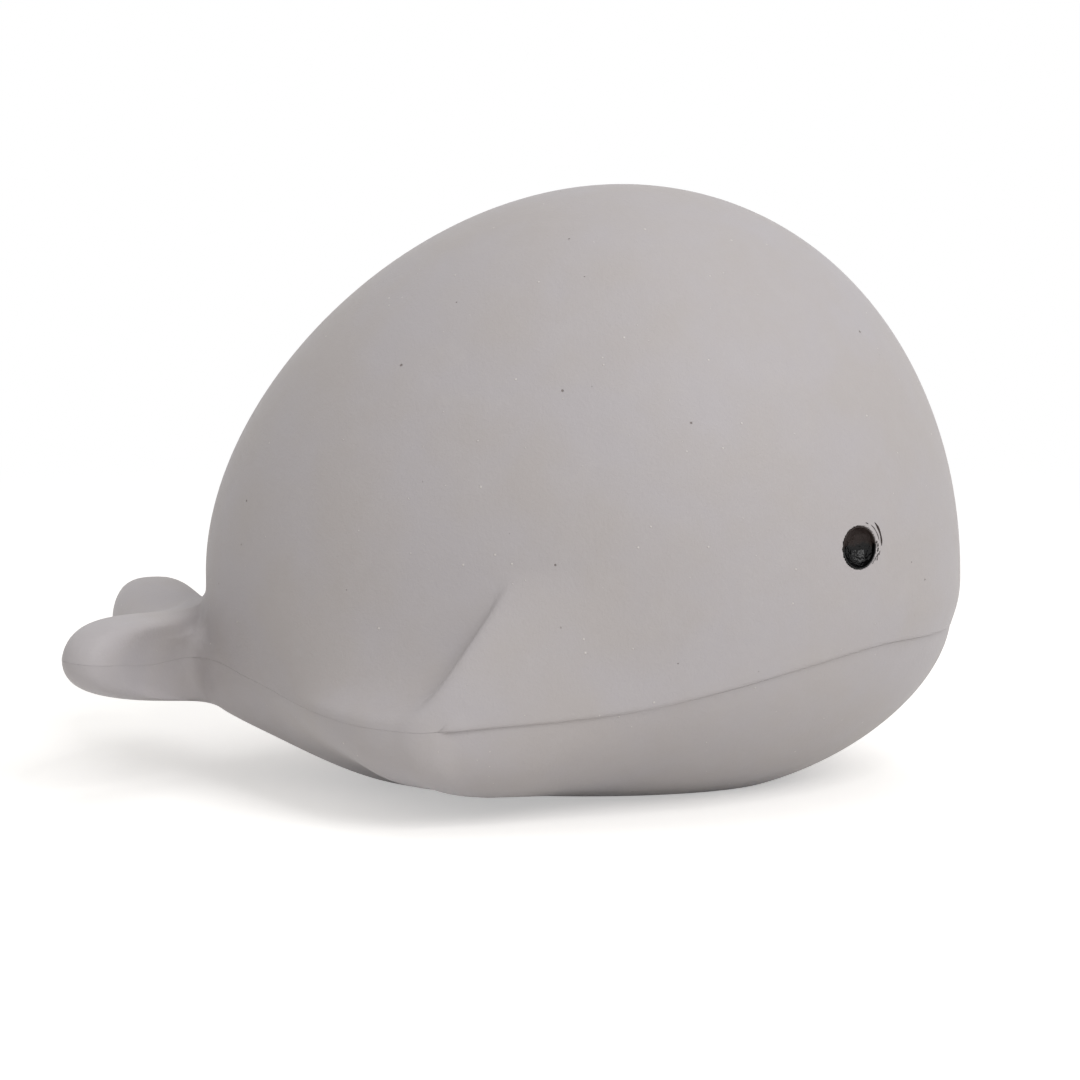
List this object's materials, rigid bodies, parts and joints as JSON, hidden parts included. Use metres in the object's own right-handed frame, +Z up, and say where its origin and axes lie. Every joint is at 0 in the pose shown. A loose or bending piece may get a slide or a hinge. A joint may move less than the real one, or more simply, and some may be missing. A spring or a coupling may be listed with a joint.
{
  "type": "rattle bath toy",
  "caption": "Whale-shaped rubber bath toy: bonded half shells with flippers and tail flukes, painted eyes, a base plug and a loose rattle capsule of steel pellets inside.",
  "frame": {"origin": "on the floor under the middle of the overall box", "axes": "+X towards the snout, +Y towards the whale's left flank, +Z up"},
  "size_m": [0.1175, 0.0852, 0.0794],
  "materials": {
    "body_rubber": "matte, cast",
    "plug_rubber": "matte, moulded",
    "eye_paint": "gloss enamel",
    "capsule_abs": "moulded, satin",
    "pellet_steel": "ground"
  },
  "bodies": {
    "shell": {"upper_shell": "body_rubber", "lower_shell": "body_rubber", "base_plug": "plug_rubber", "left_eye_paint": "eye_paint", "right_eye_paint": "eye_paint"},
    "rattle": {"capsule_upper": "capsule_abs", "capsule_lower": "capsule_abs"},
    "pellet_a": {"pellet_1": "pellet_steel"},
    "pellet_b": {"pellet_2": "pellet_steel"},
    "pellet_c": {"pellet_3": "pellet_steel"},
    "pellet_d": {"pellet_4": "pellet_steel"},
    "pellet_e": {"pellet_5": "pellet_steel"},
    "pellet_f": {"pellet_6": "pellet_steel"},
    "pellet_g": {"pellet_7": "pellet_steel"}
  },
  "joints": [
    {"name": "rattle_slide", "type": "slide", "parent": "shell", "child": "rattle", "axis": [1, 0, 0], "range_m": [-0.0205, 0.0215]},
    {"name": "pellet_1_hop", "type": "slide", "parent": "rattle", "child": "pellet_a", "axis": [0, 0, 1], "range_m": [0, 0.0234]},
    {"name": "pellet_2_hop", "type": "slide", "parent": "rattle", "child": "pellet_b", "axis": [0, 0, 1], "range_m": [0, 0.0208]},
    {"name": "pellet_3_hop", "type": "slide", "parent": "rattle", "child": "pellet_c", "axis": [0, 0, 1], "range_m": [0, 0.0208]},
    {"name": "pellet_4_hop", "type": "slide", "parent": "rattle", "child": "pellet_d", "axis": [0, 0, 1], "range_m": [0, 0.0208]},
    {"name": "pellet_5_hop", "type": "slide", "parent": "rattle", "child": "pellet_e", "axis": [0, 0, 1], "range_m": [0, 0.0208]},
    {"name": "pellet_6_hop", "type": "slide", "parent": "rattle", "child": "pellet_f", "axis": [0, 0, 1], "range_m": [0, 0.0208]},
    {"name": "pellet_7_hop", "type": "slide", "parent": "rattle", "child": "pellet_g", "axis": [0, 0, 1], "range_m": [0, 0.0208]}
  ]
}
